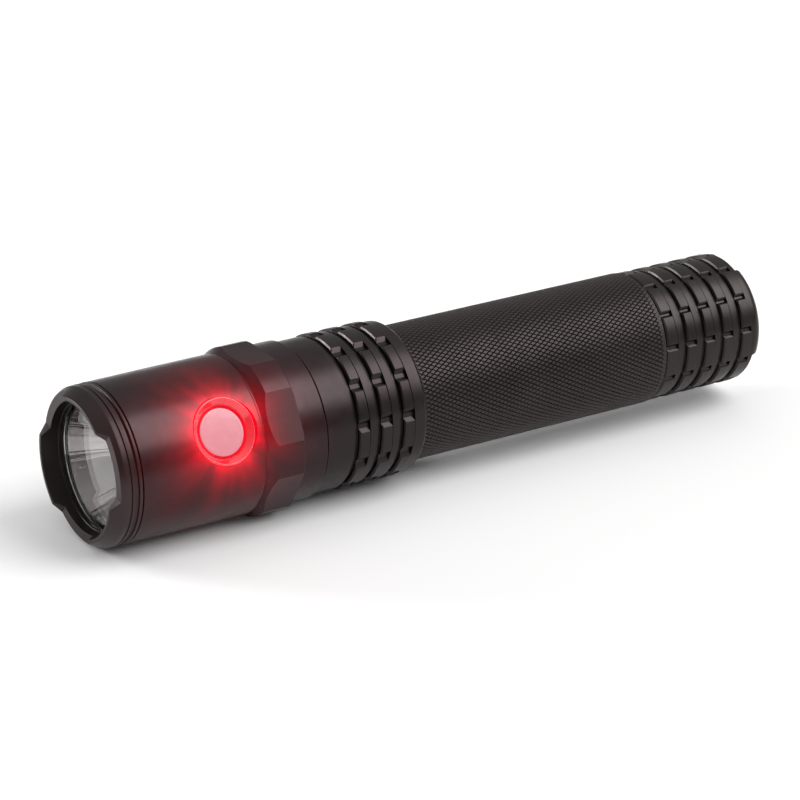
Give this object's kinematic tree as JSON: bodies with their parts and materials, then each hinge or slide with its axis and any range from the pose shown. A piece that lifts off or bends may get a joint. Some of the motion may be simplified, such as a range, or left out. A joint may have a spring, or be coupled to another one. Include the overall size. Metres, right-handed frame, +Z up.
{
  "type": "hand torch",
  "caption": "Black aluminium hand torch with a strike bezel, red-lit side button, six-sided collar, knurled grip and a screw-on ringed tail cap with a push switch.",
  "frame": {"origin": "middle of the torch's length, on the surface it lies on, under its own axis", "axes": "+X from the lens to the tail cap along the torch's axis, +Z up out of the surface, -Y the side that the side button leans towards"},
  "size_m": [0.1544, 0.0338, 0.032],
  "materials": {
    "anodised_bezel": "black hard-anodised, satin",
    "anodised_head": "black hard-anodised, satin",
    "anodised_tube": "black hard-anodised over diamond knurling",
    "anodised_tail": "black hard-anodised, satin",
    "seal_rubber": "lightly greased",
    "boot_rubber": "matt silicone rubber",
    "lens_glass": "clear, coated",
    "mirror_coat": "vapour-coated mirror",
    "white_plastic": "moulded",
    "led_phosphor": "yellow phosphor under a clear dome",
    "circuit_board": "green solder mask",
    "bare_aluminium": "machined, bare",
    "red_wire": "extruded insulation",
    "black_wire": "extruded insulation",
    "black_plastic": "moulded",
    "brass_ring": "turned",
    "spring_steel": "plated",
    "red_light_ring": "translucent, lit red from below",
    "lit_cap": "translucent, lit from below",
    "indicator_red": "clear red",
    "can_steel": "nickel-plated",
    "sleeve_plastic": "shrink sleeve"
  },
  "bodies": {
    "torch_body": {"head_housing": "anodised_head", "bezel_ring": "anodised_bezel", "bezel_o_ring": "seal_rubber", "front_lens": "lens_glass", "lens_gasket": "seal_rubber", "reflector": "mirror_coat", "led_centring_ring": "white_plastic", "led_emitter": "led_phosphor", "led_board": "circuit_board", "heat_sink_pill": "bare_aluminium", "led_lead_positive": "red_wire", "led_lead_negative": "black_wire", "driver_board": "circuit_board", "driver_inductor": "black_plastic", "driver_controller": "black_plastic", "driver_retaining_ring": "brass_ring", "driver_spring": "spring_steel", "side_button_ring": "red_light_ring", "side_button_gasket": "seal_rubber", "tact_switch_body": "black_plastic", "switch_board": "circuit_board", "indicator_led_left": "indicator_red", "indicator_led_right": "indicator_red", "switch_board_screw_left": "spring_steel", "switch_board_screw_right": "spring_steel", "head_o_ring": "seal_rubber", "body_tube": "anodised_tube", "tail_o_ring": "seal_rubber"},
    "side_button": {"side_button_cap": "lit_cap", "tact_switch_plunger": "white_plastic"},
    "battery": {"battery_cell": "can_steel", "battery_sleeve": "sleeve_plastic", "battery_insulator": "white_plastic"},
    "tail_cap": {"tail_cap": "anodised_tail", "tail_spring": "spring_steel", "tail_retaining_ring": "brass_ring", "tail_switch_board": "circuit_board", "tail_switch_body": "black_plastic", "tail_switch_washer": "black_plastic", "tail_boot": "boot_rubber"},
    "tail_button": {"tail_switch_plunger": "white_plastic"}
  },
  "joints": [
    {"name": "side_button_press", "type": "slide", "parent": "torch_body", "child": "side_button", "axis": [0, 0.866, -0.5], "range_m": [0, 0.0006], "stiffness_N_per_m": 2500, "springref_m": -0.0004},
    {"name": "battery_travel", "type": "slide", "parent": "torch_body", "child": "battery", "axis": [1, 0, 0], "range_m": [0, 0.0077], "deforming": ["driver_spring"]},
    {"name": "tail_cap_turn", "type": "hinge", "parent": "battery", "child": "tail_cap", "pos_m": [0.06185, 0, 0.016], "axis": [1, 0, 0], "range_deg": [0, 2160]},
    {"name": "tail_button_press", "type": "slide", "parent": "tail_cap", "child": "tail_button", "axis": [-1, 0, 0], "range_m": [0, 0.0015], "stiffness_N_per_m": 2500, "springref_m": -0.0006, "deforming": ["tail_boot"]}
  ],
  "couplings": [
    {"joint": "battery_travel", "follows": "tail_cap_turn", "m_per_rad": 0.00019894}
  ]
}
